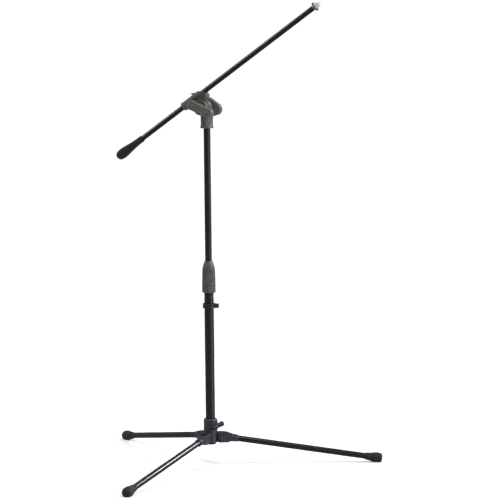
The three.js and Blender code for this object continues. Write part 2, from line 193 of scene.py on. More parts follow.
def screw_thread(pitch, depth, start, end):
    """A shape function: a helical thread cut below the radius between two levels."""
    def shape(radius, along, angle):
        inside = min(along - start, end - along)
        if inside <= 0:
            return radius
        turn = (along / pitch - angle / math.tau) % 1
        return radius - depth * min(1, inside / pitch) * abs(2 * turn - 1)
    return shape


def extruded(outline, low, high):
    """An outline in x and y made solid between two levels of z."""
    count = len(outline)
    verts = [(x, y, z) for z in (low, high) for x, y in outline]
    faces = [list(range(count))[::-1], [i + count for i in range(count)]]
    faces += [[i, (i + 1) % count, (i + 1) % count + count, i + count] for i in range(count)]
    return mesh_from(verts, faces)


def side_extruded(outline, width):
    """An outline in x and z made solid across y."""
    mesh = extruded(outline, -width / 2, width / 2)
    mesh.transform(Matrix.Rotation(math.pi / 2, 4, "X"))
    return mesh


def block(low, high):
    (x, y, z), (far_x, far_y, far_z) = low, high
    return extruded([(x, y), (far_x, y), (far_x, far_y), (x, far_y)], z, far_z)


def moved(mesh, x=0, y=0, z=0):
    mesh.transform(Matrix.Translation((x, y, z)))
    return mesh


def arc(centre, radius, start, end, steps=10):
    angles = [math.radians(start + (end - start) * i / steps) for i in range(steps + 1)]
    return [(centre[0] + radius * math.cos(a), centre[1] + radius * math.sin(a)) for a in angles]


def scratch_object(mesh):
    obj = bpy.data.objects.new("scratch", mesh)
    bpy.context.scene.collection.objects.link(obj)
    return obj


def moulded(joined, cut=(), voxel=0.8, soften=4, keep=0.5):
    """One moulding from overlapping meshes, less the cut ones, with a casting's soft edges."""
    base = scratch_object(joined[0])
    helpers = []
    for mesh, operation in [(m, "UNION") for m in joined[1:]] + [(m, "DIFFERENCE") for m in cut]:
        helper = scratch_object(mesh)
        helpers.append(helper)
        modifier = base.modifiers.new(operation, "BOOLEAN")
        modifier.operation = operation
        modifier.solver = "EXACT"
        modifier.object = helper
    skin = base.modifiers.new("skin", "REMESH")
    skin.mode = "VOXEL"
    skin.voxel_size = voxel
    soft = base.modifiers.new("soften", "SMOOTH")
    soft.factor = 0.5
    soft.iterations = soften
    thin = base.modifiers.new("thin", "DECIMATE")
    thin.ratio = keep
    bpy.context.view_layer.update()
    depsgraph = bpy.context.evaluated_depsgraph_get()
    mesh = bpy.data.meshes.new_from_object(base.evaluated_get(depsgraph))
    for obj in [base, *helpers]:
        bpy.data.objects.remove(obj)
    return mesh


def piece(name, mesh, place, body, material, nodes, in_world=False):
    """Turns a mesh in millimetres into a named piece that rides on a body and stands for CAD nodes.

    With in_world the placing is worked into the mesh, which keeps a slanting piece's box tight.
    """
    mesh.transform(Matrix.Scale(MM, 4))
    if in_world:
        mesh.transform(place)
        place = Matrix()
    mesh.name = name
    mesh.shade_smooth()
    mesh.set_sharp_from_angle(angle=SHARP)
    mesh.materials.clear()
    mesh.materials.append(material)
    obj = bpy.data.objects.new(name, mesh)
    bpy.context.scene.collection.objects.link(obj)
    obj.matrix_world = place
    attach(obj, body)
    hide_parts(*nodes)
    return obj


# ---------- materials ----------
class Nodes:
    """A material's node tree, with short calls for the few nodes used here."""

    def __init__(self, name):
        self.material = bpy.data.materials.new(name)
        self.material.use_nodes = True
        self.tree = self.material.node_tree
        self.shader = self.tree.nodes["Principled BSDF"]
        self.coords = self.tree.nodes.new("ShaderNodeTexCoord").outputs["Object"]

    def link(self, source, socket):
        self.tree.links.new(source, socket)

    def stretched(self, scale):
        node = self.tree.nodes.new("ShaderNodeMapping")
        node.inputs["Scale"].default_value = scale
        self.link(self.coords, node.inputs["Vector"])
        return node.outputs["Vector"]

    def noise(self, scale, detail=3, roughness=0.6, vector=None):
        node = self.tree.nodes.new("ShaderNodeTexNoise")
        node.inputs["Scale"].default_value = scale
        node.inputs["Detail"].default_value = detail
        node.inputs["Roughness"].default_value = roughness
        self.link(vector or self.coords, node.inputs["Vector"])
        return node.outputs["Fac"]

    def ramp(self, value, stops):
        node = self.tree.nodes.new("ShaderNodeValToRGB")
        elements = node.color_ramp.elements
        while len(elements) < len(stops):
            elements.new(0.5)
        for element, (position, colour) in zip(elements, stops):
            element.position = position
            element.color = (*colour, 1)
        self.link(value, node.inputs["Fac"])
        return node.outputs["Color"]

    def spread(self, value, low, high, start=0.3, end=0.7):
        """Maps a noise value between start and end to a number between low and high."""
        node = self.tree.nodes.new("ShaderNodeMapRange")
        node.inputs["From Min"].default_value = start
        node.inputs["From Max"].default_value = end
        node.inputs["To Min"].default_value = low
        node.inputs["To Max"].default_value = high
        self.link(value, node.inputs["Value"])
        return node.outputs["Result"]

    def mixed(self, factor, first, second):
        """Mix of two colours. Either may be a socket or a plain colour."""
        node = self.tree.nodes.new("ShaderNodeMix")
        node.data_type = "RGBA"
        self.link(factor, node.inputs["Factor"])
        for socket, colour in ((node.inputs[6], first), (node.inputs[7], second)):
            if isinstance(colour, tuple):
                socket.default_value = (*colour, 1)
            else:
                self.link(colour, socket)
        return node.outputs[2]

    def bump(self, heights_and_depths):
        """Stacks bumps: each entry is a height socket and its depth in metres."""
        normal = None
        for height, depth in heights_and_depths:
            node = self.tree.nodes.new("ShaderNodeBump")
            node.inputs["Distance"].default_value = depth
            node.inputs["Strength"].default_value = 0.6
            self.link(height, node.inputs["Height"])
            if normal:
                self.link(normal, node.inputs["Normal"])
            normal = node.outputs["Normal"]
        self.link(normal, self.shader.inputs["Normal"])

    def surface(self, colour, roughness):
        self.link(colour, self.shader.inputs["Base Color"])
        self.link(roughness, self.shader.inputs["Roughness"])
        return self.material


def scaled(colour, factor):
    return tuple(channel * factor for channel in colour)


def shaded(colour, dark, light, edge=0.3):
    """Stops of a ramp between a darker and a lighter shade of a colour."""
    return [(edge, scaled(colour, dark)), (1 - edge, scaled(colour, light))]


def powder_coat(name, colour):
    """Satin black coated steel: orange-peel skin, faint streaks along z and a few rubbed spots."""
    nodes = Nodes(name)
    cloud = nodes.ramp(nodes.noise(14), shaded(colour, 0.85, 1.25))
    streaks = nodes.noise(1, 4, vector=nodes.stretched((420, 420, 9)))
    rubbed = nodes.spread(streaks, 0, 0.35, 0.62, 0.8)
    base = nodes.mixed(rubbed, cloud, scaled(colour, 2.6))
    nodes.bump([(nodes.noise(900, 2), 0.00004), (nodes.noise(2600, 2), 0.00001)])
    nodes.shader.inputs["Specular IOR Level"].default_value = 0.5
    nodes.shader.inputs["Coat Weight"].default_value = 0.2
    nodes.shader.inputs["Coat Roughness"].default_value = 0.25
    return nodes.surface(base, nodes.spread(nodes.noise(60, 4), 0.22, 0.32))


def moulded_plastic(name, colour, rough=0.5, grain=0.00002):
    """Glass-filled nylon moulding: fine spark-eroded grain, soft mottling and slight polish."""
    nodes = Nodes(name)
    mottle = nodes.ramp(nodes.noise(55, 5), shaded(colour, 0.8, 1.22, 0.32))
    flow = nodes.noise(1, 3, vector=nodes.stretched((30, 90, 30)))
    base = nodes.mixed(nodes.spread(flow, 0, 0.3, 0.55, 0.8), mottle, scaled(colour, 1.7))
    nodes.bump([(nodes.noise(1500, 3, 0.7), grain), (nodes.noise(220, 3), 0.00003)])
    nodes.shader.inputs["Specular IOR Level"].default_value = 0.45
    return nodes.surface(base, nodes.spread(nodes.noise(80, 4), rough - 0.07, rough + 0.1))


def rubber(name, colour):
    """Moulded rubber: matt, finely pitted, with a dusty bloom in patches."""
    nodes = Nodes(name)
    bloom = nodes.noise(38, 6, 0.65)
    body = nodes.ramp(nodes.noise(120, 4), shaded(colour, 0.8, 1.2))
    base = nodes.mixed(nodes.spread(bloom, 0, 0.45, 0.48, 0.75), body, scaled(colour, 2.4))
    nodes.bump([(nodes.noise(1100, 4, 0.7), 0.0001), (nodes.noise(150, 3), 0.0001)])
    nodes.shader.inputs["Specular IOR Level"].default_value = 0.3
    nodes.shader.inputs["Sheen Weight"].default_value = 0.08
    return nodes.surface(base, nodes.spread(bloom, 0.62, 0.85))


def plated_steel(name, colour, rough=0.28, metal=1):
    """Zinc-plated steel: crystalline patches and fine turning lines."""
    nodes = Nodes(name)
    patches = nodes.noise(240, 4)
    base = nodes.ramp(patches, shaded(colour, 0.8, 1.1))
    lines = nodes.noise(1, 2, vector=nodes.stretched((60, 60, 3500)))
    nodes.bump([(lines, 0.00002)])
    nodes.shader.inputs["Metallic"].default_value = metal
    return nodes.surface(base, nodes.spread(patches, rough - 0.06, rough + 0.12))


def floor_material():
    """Plain pale studio floor, with a little light of its own so that it stays white."""
    nodes = Nodes("studio_floor")
    base = nodes.ramp(nodes.noise(1.5, 2), shaded((1, 1, 1), 0.93, 0.95))
    nodes.shader.inputs["Specular IOR Level"].default_value = 0.1
    nodes.shader.inputs["Emission Color"].default_value = (1, 1, 1, 1)
    nodes.shader.inputs["Emission Strength"].default_value = FLOOR_GLOW
    return nodes.surface(base, nodes.spread(nodes.noise(3, 2), 0.8, 0.9))


COATED = powder_coat("black_powder_coat", (0.009, 0.009, 0.01))
CHARCOAL = moulded_plastic("charcoal_nylon", (0.014, 0.014, 0.018), 0.34)
OLIVE = moulded_plastic("warm_grey_nylon", (0.095, 0.095, 0.078), 0.52)
BLUISH = moulded_plastic("blue_grey_nylon", (0.034, 0.033, 0.047), 0.36)
OLIVE_GRIP = moulded_plastic("clutch_grip_nylon", (0.075, 0.075, 0.073), 0.45)
HEAD_GREY = moulded_plastic("head_grey_nylon", (0.11, 0.11, 0.104), 0.38)
HANDLE_GREY = moulded_plastic("handle_grey_nylon", (0.15, 0.15, 0.132), 0.45)
NYLON = moulded_plastic("smooth_nylon", (0.02, 0.02, 0.02), 0.4, 0.00003)
BLUE_RUBBER = rubber("grip_rubber", (0.015, 0.015, 0.023))
FOOT_RUBBER = rubber("foot_rubber", (0.014, 0.014, 0.016))
DARK_STEEL = plated_steel("black_zinc_steel", (0.09, 0.09, 0.095), 0.35)
# Light zinc plating (its own colour), made only partly metallic so it shows matt and pale: a
# painted reflection of a bright room, where the full metal would mirror the dim room light.
ZINC_STEEL_PAINTED_REFLECTION = plated_steel("zinc_steel_painted_reflection", (0.88, 0.88, 0.86), 0.3, 0.4)


# ---------- mast ----------
LOWER_TUBE_BORE, LOWER_TUBE_RADIUS = 12.1, 13.3
UPPER_TUBE_BORE, UPPER_TUBE_RADIUS = 8.5, 9.5
OVER_LOWER_TUBE, OVER_UPPER_TUBE = 13.6, 9.8  # bores of the pieces round the tubes
INSIDE_LOWER_TUBE = 11.8  # radius of the pieces inside the lower tube
PLUG_RADIUS = 15
CRIMP_BELOW_CLUTCH, CRIMP_DEPTH = 11, 0.6
CLUTCH_RADIUS, CLUTCH_NECK = 18.9, 12
GRIP_RADIUS, GRIP_SHOULDER_RADIUS, GRIP_TOP_RADIUS = 19, 18, 11
CLIP_RADIUS, CLIP_RING_RADIUS = 18.5, 17.6
CLIP_LOOP_AT, CLIP_LOOP_RADIUS, CLIP_LOOP_BORE = 20.6, 7.2, 4.6


def crimped_tube(bore, radius, bottom, top, crimp_at=None):
    """A tube with rolled ends and, if asked, a shallow groove pressed round it."""
    if crimp_at is None:
        return turned(rounded(sleeve(bore, radius, bottom, top), 0.5))
    groove = [
        [radius, crimp_at - 3], [radius - CRIMP_DEPTH, crimp_at - 1.5],
        [radius - CRIMP_DEPTH, crimp_at + 1.5], [radius, crimp_at + 3],
    ]
    outline = [[bore, bottom], [radius, bottom + 1], *groove, [radius, top - 1], [bore, top]]
    return turned(rounded(outline + outline[:1], 0.6))


def lower_mast():
    bottom, top = heights("lower_tube")
    crimp_at = heights("height_clutch_body")[0] - CRIMP_BELOW_CLUTCH
    tube = crimped_tube(LOWER_TUBE_BORE, LOWER_TUBE_RADIUS, bottom, top, crimp_at)
    piece("lower_tube_coated", tube, MAST, "mast_lower", COATED, ["lower_tube"])

    low, high = heights("mast_plug")
    flange = bottom - GAP
    profile = [
        [0, low + 1.2], [8, low + 1.2], [9, low], [13.6, low], [PLUG_RADIUS, low + 1.4],
        [PLUG_RADIUS, flange], [INSIDE_LOWER_TUBE, flange], [INSIDE_LOWER_TUBE, high], [0, high],
    ]
    flutes = fluted(18, 0.8, low + 0.8, flange - 0.4, 1)
    plug = turned(rounded(profile, 0.8), shape=flutes)
    piece("mast_plug_moulding", plug, MAST, "mast_lower", CHARCOAL, ["mast_plug"])


def clutch_base():
    """Ribbed ring of the height clutch, with the threaded neck that its twist grip turns on."""
    low, high = heights("height_clutch_body")
    tube_top = heights("lower_tube")[1] + GAP
    split = heights("height_clutch_grip")[0] - GAP
    profile = [
        [OVER_LOWER_TUBE, low], [CLUTCH_RADIUS - 1, low], [CLUTCH_RADIUS, low + 1],
        *[[CLUTCH_RADIUS, z] for z in along_steps(low + 2, split - 1, 2)],
        [CLUTCH_RADIUS, split], [CLUTCH_NECK, split],
        *[[CLUTCH_NECK, z] for z in along_steps(split + 1, high - 1, 0.5)],
        [CLUTCH_NECK, high], [OVER_UPPER_TUBE, high], [OVER_UPPER_TUBE, tube_top],
        [OVER_LOWER_TUBE, tube_top], [OVER_LOWER_TUBE, low],
    ]
    ribs = fluted(40, 0.5, low + 2, split - 1, 2)
    thread = screw_thread(3, 0.8, split + 1, high)

    def shape(radius, along, angle):
        if radius > 16:
            return ribs(radius, along, angle)
        return thread(radius, along, angle) if radius > CLUTCH_NECK - 0.1 else radius

    return turned(rounded(profile, 0.4, 2), sides=160, shape=shape)


def twist_grip():
    """Twist grip of the height clutch: flutes below a domed shoulder, and a rolled mouth."""
    low, high = heights("height_clutch_grip")
    shoulder = low + 39
    bore, mouth, lip = 12.4, 10.1, shoulder + 15.6
    profile = [[bore, low], [18.3, low], [GRIP_RADIUS, low + 0.8]]
    for z in along_steps(low + 1.6, shoulder, 2):
        profile.append([GRIP_RADIUS - (z - low) / (shoulder - low), z])
    steps = 14
    dome = GRIP_SHOULDER_RADIUS - GRIP_TOP_RADIUS
    for step in range(1, steps + 1):
        share = step / steps
        radius = GRIP_TOP_RADIUS + dome * math.cos(share * math.pi / 2)
        profile.append([radius, shoulder + share * (high - shoulder)])
    profile += [[mouth, high], [mouth, lip], [bore, lip], [bore, low]]
    flutes = fluted(16, 1.1, low + 3, shoulder + 7, 9)

    def shape(radius, along, angle):
        return flutes(radius, along, angle) if radius > 14 else radius

    return turned(rounded(profile, 0.4, 2), sides=192, shape=shape)


def collet():
    """Sleeve that grips the upper tube, with six slots down its outside."""
    low, high = heights("height_clutch_collet")

    def slotted(radius, along, angle):
        return radius - (1.2 if radius > 11 and math.cos(6 * angle) > 0.93 else 0)

    profile = rounded(sleeve(OVER_UPPER_TUBE, INSIDE_LOWER_TUBE, low, high), 0.6)
    return turned(profile, sides=96, shape=slotted)


def height_clutch():
    piece(
        "clutch_base_ring", clutch_base(), MAST, "mast_lower", OLIVE_GRIP,
        ["height_clutch_body"],
    )
    piece(
        "clutch_collet", collet(), MAST, "mast_lower", NYLON,
        ["height_clutch_collet"],
    )
    piece(
        "clutch_twist_grip", twist_grip(), MAST, "clutch_grip", OLIVE_GRIP,
        ["height_clutch_grip"],
    )


def upper_mast():
    low, high = heights("guide_bush")
    profile = rounded(sleeve(OVER_UPPER_TUBE, INSIDE_LOWER_TUBE, low, high), 0.5)
    bush = turned(profile, shape=fluted(8, 0.3, low + 2, high - 2))
    piece("mast_guide_bush", bush, MAST, "mast_bush", NYLON, ["guide_bush"])

    tube = crimped_tube(UPPER_TUBE_BORE, UPPER_TUBE_RADIUS, *heights("upper_tube"))
    piece("upper_tube_coated", tube, MAST, "mast_upper", COATED, ["upper_tube"])


def cable_clip():
    """Ring round the lower tube between two beads, with an open loop for a cable at its side."""
    low, high = heights("cable_clip")
    ring = turned(rounded([
        [0, low], [CLIP_RING_RADIUS, low], [CLIP_RADIUS, low + 0.8], [CLIP_RADIUS, low + 2],
        [CLIP_RING_RADIUS, low + 2.8], [CLIP_RING_RADIUS, high - 2.8], [CLIP_RADIUS, high - 2],
        [CLIP_RADIUS, high - 0.8], [CLIP_RING_RADIUS, high], [0, high],
    ], 0.4))
    loop = turned(rounded(rod(CLIP_LOOP_RADIUS, low + GAP, high - GAP), 1.2))
    tube_hole = turned(rod(OVER_LOWER_TUBE, low - 1, high + 1))
    cable_hole = turned(rod(CLIP_LOOP_BORE, low - 1, high + 1))
    for mesh in (loop, cable_hole):
        moved(mesh, x=CLIP_LOOP_AT)
    mouth = block((CLIP_LOOP_AT - 1, 0, low - 1), (CLIP_LOOP_AT + 4, 9, high + 1))
    mesh = moulded([ring, loop], [tube_hole, cable_hole, mouth], 0.5, 3)
    piece(
        "cable_clip_moulding", mesh, MAST, "cable_clip", CHARCOAL, ["cable_clip"],
    )


# ---------- tripod ----------
LEG_NAMES = ("right", "back", "front")
PIN_OUT, PIN_HEIGHT, PIN_HOLE = 26, 72.2, 2.8
LEG_HEIGHT, LEG_SLOPE = 88, math.radians(9.1)
LEG_TUBE_BORE, LEG_TUBE_RADIUS, LEG_TUBE_START, LEG_TUBE_END = 7.3, 8.5, 38, 488
OVER_LEG_TUBE = 8.8
LEG_LINE = Matrix.Translation((0, 0, LEG_HEIGHT * MM)) @ Matrix.Rotation(LEG_SLOPE, 4, "Y")
HUB_RADIUS, HUB_BORE, HUB_WALL = 19.3, 13.7, 14.7
HUB_BAND_AT = 98
SCREW_RADIUS, SCREW_TIP, SCREW_END = 3, 13.6, 32.3
KNOB_AT, KNOB_HALF, KNOB_RADIUS, KNOB_TURN = 37, 20.5, 7.2, math.radians(18)
BRACKET_INNER, BRACKET_WIDTH, BRACKET_LOW, BRACKET_HIGH = 19.6, 24, 65.8, 96.5
SOCKET_END = 78
BOOT_START, BOOT_LENGTH, BOOT_RADIUS, BOOT_NECK = 444.3, 49, 15, 9.9


def onto_leg_axis(mesh):
    """Moves a mesh made along x down to the leg's sloping axis."""
    mesh.transform(Matrix.Translation((0, 0, LEG_HEIGHT)) @ Matrix.Rotation(LEG_SLOPE, 4, "Y"))
    return mesh


def hub():
    """Hub collar with two bands, a forked lug and a rib for each leg, and the screw's boss."""
    low, high = heights("hub")
    collar = turned(rounded([
        [0, low], [HUB_RADIUS, low], [HUB_RADIUS, high - 3], [HUB_RADIUS - 2, high], [0, high],
    ], 1.2))
    bands = [
        turned(rounded(rod(HUB_RADIUS + 0.3, z, z + 4), 1)) for z in (high - 8, HUB_BAND_AT)
    ]
    joined, cuts = [collar, *bands], [turned(rod(HUB_BORE, low - 1, high + 1))]
    lug_radius = 6.2
    for name in LEG_NAMES:
        fold_axis = joint_axis(f"leg_fold_{name}")
        turn = Matrix.Rotation(math.atan2(-fold_axis.x, fold_axis.y), 4, "Z")
        lug = side_extruded([
            (HUB_WALL, PIN_HEIGHT - lug_radius), *arc((PIN_OUT, PIN_HEIGHT), lug_radius, -90, 90),
            (HUB_WALL, PIN_HEIGHT + lug_radius),
        ], 9)
        hole = moved(turned(rod(PIN_HOLE, -15, 15), "y"), x=PIN_OUT, z=PIN_HEIGHT)
        rib = side_extruded([(17, 101), (20.4, 101), (20.4, high - 8), (17, high - 6)], 4)
        for mesh in (lug, hole, rib):
            mesh.transform(turn)
        joined += [lug, rib]
        cuts.append(hole)
    turn = Matrix.Rotation(math.atan2(screw_axis.y, screw_axis.x), 4, "Z")
    screw_height = joints["hub_screw_turn"]["pos_m"][2] / MM
    boss = moved(turned(rounded(rod(8, HUB_WALL, 25.3), 1), "x"), z=screw_height)
    screw_hole = moved(turned(rod(SCREW_RADIUS + 0.4, 0, 26), "x"), z=screw_height)
    for mesh in (boss, screw_hole):
        mesh.transform(turn)
    mesh = moulded([*joined, boss], [*cuts, screw_hole], 0.7, 4)
    piece("hub_casting", mesh, MAST, "tripod_hub", BLUISH, ["hub"])


def hub_screw():
    """Threaded screw shaft and the ribbed T-shaped knob on its end."""
    profile = [
        [0, SCREW_TIP], [2.2, SCREW_TIP], [SCREW_RADIUS, 14.4],
        *[[SCREW_RADIUS, x] for x in along_steps(14.8, 28, 0.25)],
        [SCREW_RADIUS, SCREW_END], [0, SCREW_END],
    ]
    screw = turned(profile, "x", 48, screw_thread(1.25, 0.6, 14.4, 29))
    piece("hub_screw_thread", screw, SCREW, "hub_screw", DARK_STEEL, ["hub_screw"])

    bar = moved(turned(rounded([
        [0, -KNOB_HALF], [5.4, -KNOB_HALF], [KNOB_RADIUS, -KNOB_HALF + 1.8], [7, -8], [6.2, 0],
        [7, 8], [KNOB_RADIUS, KNOB_HALF - 1.8], [5.4, KNOB_HALF], [0, KNOB_HALF],
    ], 1.4), "y"), x=KNOB_AT)
    ribs = [block((29.5, y - 0.8, -2.8), (44.5, y + 0.8, 2.8)) for y in (-15, -11, 11, 15)]
    neck = turned(rounded([[0, 26.4], [6.4, 26.4], [5.4, 29.6], [6, 36], [0, 36]], 1), "x")
    pocket = turned(rod(SCREW_RADIUS + 0.3, 0, 32.6), "x")
    knob = moulded([bar, neck, *ribs], [pocket], 0.5, 3)
    knob.transform(Matrix.Rotation(KNOB_TURN, 4, "X"))
    piece("hub_screw_tee", knob, SCREW, "hub_screw", CHARCOAL, ["hub_screw_knob"])


def leg_bracket_mesh():
    """Leg bracket: a forked box at the hub that runs out into a round socket; ribbed cheeks."""
    inner, low, high = BRACKET_INNER, BRACKET_LOW, BRACKET_HIGH
    side = side_extruded([
        *arc((PIN_OUT, PIN_HEIGHT), PIN_OUT - inner, 180, 270), (49, low), (61, low + 4),
        (61, 89), (46, high - 2.5), (inner + 4, high), (inner, high - 2),
    ], BRACKET_WIDTH)
    cone = onto_leg_axis(turned(rounded([
        [0, 40], [11.9, 47], [11.6, 56], [10.4, 72], [10.3, 75], [10.8, 75.5], [10.8, 77.4],
        [9.8, SOCKET_END], [0, SOCKET_END],
    ], 0.8), "x"))
    ridge = side_extruded([
        (inner + 3, high - 2), (45, high - 4.5), (62, 88.5), (62, 84), (inner + 3, 84),
    ], 5)
    socket = onto_leg_axis(turned(rod(OVER_LEG_TUBE, 37.7, 85), "x"))
    channel = onto_leg_axis(block((32, -OVER_LEG_TUBE, 0), (46, OVER_LEG_TUBE, 30)))
    slot = block((0, -4.9, 0), (PIN_OUT + 7.4, 4.9, PIN_HEIGHT + 7))
    hole = moved(turned(rod(PIN_HOLE, -20, 20), "y"), x=PIN_OUT, z=PIN_HEIGHT)
    corners = []
    for hand in (-1, 1):
        outline = [(48, hand * 12.2), (64, hand * 9.2), (64, hand * 16), (48, hand * 16)]
        taper = extruded(outline[::hand], 50, 100)
        panel = side_extruded([
            (32, 71), (47, 70), (54, 73), (53, 86), (44, 91), (32, 91.5),
        ], 2.4)
        corners += [taper, moved(panel, y=hand * BRACKET_WIDTH / 2)]
    ribs = [
        side_extruded([(x, 71), (x + 1.6, 71), (x + 1.6, 92), (x, 91)], 23.2)
        for x in (37, 43, 49)
    ]
    shell = moulded([side, cone, ridge], corners, 0.7, 1, 1)
    return moulded([shell, *ribs], [socket, channel, slot, hole], 0.7, 3, 0.45)


def leg_pin_mesh():
    half, head, shank = 12.3, 4.2, 2.5
    profile = [
        [0, -half - 1.6], [2.4, -half - 1.5], [head, -half - 0.5], [head, -half], [shank, -half],
        [shank, half], [head, half], [head, half + 0.5], [2.4, half + 1.5], [0, half + 1.6],
    ]
    return moved(turned(rounded(profile, 0.7), "y", 48), x=PIN_OUT, z=PIN_HEIGHT)


def leg_foot_mesh():
    """Rubber boot on a leg's end, with three rings at its neck and a sole cut flat on the floor."""
    start = BOOT_START
    profile = [[0, start], [9.1, start], [BOOT_NECK, start + 1]]
    for ring in (4, 8, 12):
        swell = BOOT_NECK + ring * 0.08
        profile += [
            [swell, start + ring - 1.4], [swell + 0.6, start + ring], [swell, start + ring + 1.4],
        ]
    profile += [
        [12.8, start + 20], [14.2, start + 26], [BOOT_RADIUS, start + 31], [14.9, start + 37],
        [14.3, start + 43], [12.2, start + 47.2], [8, start + 48.8], [0, start + BOOT_LENGTH],
    ]
    bore_end = LEG_TUBE_END + GAP
    bore = [[0, bore_end], [OVER_LEG_TUBE, bore_end], [OVER_LEG_TUBE, start]]
    skin = [p for p in rounded(profile, 1, 3) if p[0] > 8.9 or p[1] > 489]
    mesh = onto_leg_axis(turned(bore + skin, "x"))
    for vertex in mesh.vertices:
        vertex.co.z = max(vertex.co.z, 0)
    return mesh


def legs():
    bracket, pin, foot = leg_bracket_mesh(), leg_pin_mesh(), leg_foot_mesh()
    for name in LEG_NAMES:
        place, body = leg_frame(name), f"leg_{name}"
        piece(
            f"bracket_{name}", bracket.copy(), place, body, BLUISH,
            [f"leg_bracket_{name}"],
        )
        piece(
            f"pivot_pin_{name}", pin.copy(), place, body, DARK_STEEL,
            [f"leg_pin_{name}"],
        )
        profile = sleeve(LEG_TUBE_BORE, LEG_TUBE_RADIUS, LEG_TUBE_START, LEG_TUBE_END)
        tube = turned(rounded(profile, 0.5), "x")
        tube.transform(Matrix.Rotation(-math.pi / 2, 4, "Y"))
        line = place @ LEG_LINE @ Matrix.Rotation(math.pi / 2, 4, "Y")
        piece(
            f"leg_{name}_coated", tube, line, body, COATED, [f"leg_tube_{name}"],
        )
        piece(
            f"boot_{name}", foot.copy(), place, body, FOOT_RUBBER,
            [f"leg_foot_{name}"], True,
        )


# ---------- head ----------
HEAD_LOW, HEAD_HIGH = -11, 7
HEAD_RADIUS, LOBE_RADIUS, LOBE_AT, LOBE_TURN = 27.5, 17, (27, -6), 47
COLLAR_RADIUS, COLLAR_HEIGHT = 17.3, 35
BOLT_RADIUS, BOLT_HOLE, BOLT_END = 4, 4.3, 57.5


def swivel_head():
    """Round plate with a lobe and a spoked hollow, on a ribbed collar over the upper tube."""
    low = heights("swivel_head")[0] - pivot.z / MM
    top = low + COLLAR_HEIGHT
    collar = turned(rounded([
        [0, low], [18.5, low], [18.5, low + 5], [COLLAR_RADIUS, low + 6.5], [COLLAR_RADIUS, top],
        [0, top],
    ], 1), "y")
    plate = extruded([
        *arc(LOBE_AT, LOBE_RADIUS, -90, LOBE_TURN, 16),
        *arc((0, 0), HEAD_RADIUS, LOBE_TURN, 220, 28), (-13, top - 4), (13, top - 4),
    ], HEAD_LOW, HEAD_HIGH)
    hollow = turned(rounded([
        [12, -12], [23, -12], [23, -8.6], [12, -8.6], [12, -12],
    ], 0.8), "z", 96)
    count = 8
    spokes = []
    for number in range(count):
        spoke = extruded([(11, -1.5), (24, -1.5), (24, 1.5), (11, 1.5)], -10.6, -5)
        spoke.transform(Matrix.Rotation(math.tau * number / count, 4, "Z"))
        spokes.append(spoke)
    shell = moulded([plate], [hollow], 0.8, 3, 1)
    ribs = [block((x - 1.1, low + 8, -18.1), (x + 1.1, top - 3, 18.1)) for x in (-6, 0, 6)]
    bore_top = heights("upper_tube")[1] - pivot.z / MM + GAP
    tube_bore = turned(rod(OVER_UPPER_TUBE, low - 1, bore_top), "y")
    bolt_hole = turned(rod(BOLT_HOLE, HEAD_LOW - 2, HEAD_HIGH + 2))
    mesh = moulded([shell, collar, *spokes, *ribs], [tube_bore, bolt_hole], 0.8, 4)
    piece(
        "swivel_head_moulding", mesh, HEAD, "mast_upper", HEAD_GREY,
        ["swivel_head"],
    )

    bolt = turned(rounded([
        [0, -16.4], [3, -16.3], [6.4, -14.8], [8, -12.8], [8, -11.3], [BOLT_RADIUS, -11.3],
        [BOLT_RADIUS, BOLT_END], [0, BOLT_END],
    ], 0.7), sides=48)
    piece("clutch_bolt_domed", bolt, HEAD, "mast_upper", DARK_STEEL, ["clutch_bolt"])

    def notched(radius, along, angle):
        return radius - (0.8 if radius > 21 and math.cos(24 * angle) > 0.8 else 0)

    washer = turned(rounded(sleeve(4.7, 22, 7.3, 9.3), 0.4), sides=192, shape=notched)
    piece(
        "friction_disc", washer, HEAD, "mast_upper", FOOT_RUBBER,
        ["friction_washer"],
    )


# ---------- boom clamp ----------
CLAMP_LOW, CLAMP_HIGH = 9.6, 46  # along the tilt axis
CLAMP_REAR, CLAMP_FRONT = -44, 37  # along the boom
CLAMP_SLEEVE, CLAMP_BORE = 11.8, 8.8
LINER_BORE, LINER_RADIUS, LINER_REAR, LINER_FRONT = 7.6, 8.5, -46, 9
HANDLE_FALL = math.radians(23)


def clamp_mesh(low, high, plate, gusset_low, gusset_high, extra, cuts):
    """Half of the boom clamp: a plate on the tilt axis, a gusset and a slant-ended sleeve."""
    across, near = boom_foot.y, boom_foot.z
    rear, front = CLAMP_REAR, CLAMP_FRONT
    disc = turned(rounded([
        [0, low], [plate, low], [plate, high - 2], [plate - 2, high], [0, high],
    ], 1), "z", 96)
    gusset = extruded([
        (-plate + 1, 6), (plate - 1, 6), (front, 18), (front, across + 4), (rear, across + 4),
        (rear, across - 6),
    ], gusset_low, gusset_high)
    barrel = turned(rounded(rod(CLAMP_SLEEVE, rear, front), 1), "x")
    ring = turned(rounded(rod(CLAMP_SLEEVE + 0.8, rear - 0.2, rear + 5), 1), "x")
    boom_hole = turned(rod(CLAMP_BORE, -60, 60), "x")
    for mesh in (barrel, ring, boom_hole):
        moved(mesh, y=across, z=near)
    outside = [
        block((-90, -90, high), (90, 90, high + 60)),
        block((-90, -90, low - 60), (90, 90, low)),
    ]
    slant = [(10, 49), (36.5, 30.4), (80, 30.4), (80, 80), (10, 80)]
    ahead = extruded(slant, low - 1, high + 1)
    bolt_hole = turned(rod(BOLT_HOLE, low - 1, high + 1))
    cuts = [*outside, ahead, boom_hole, bolt_hole, *cuts]
    return moulded([disc, gusset, barrel, ring, *extra], cuts, 0.8, 3)


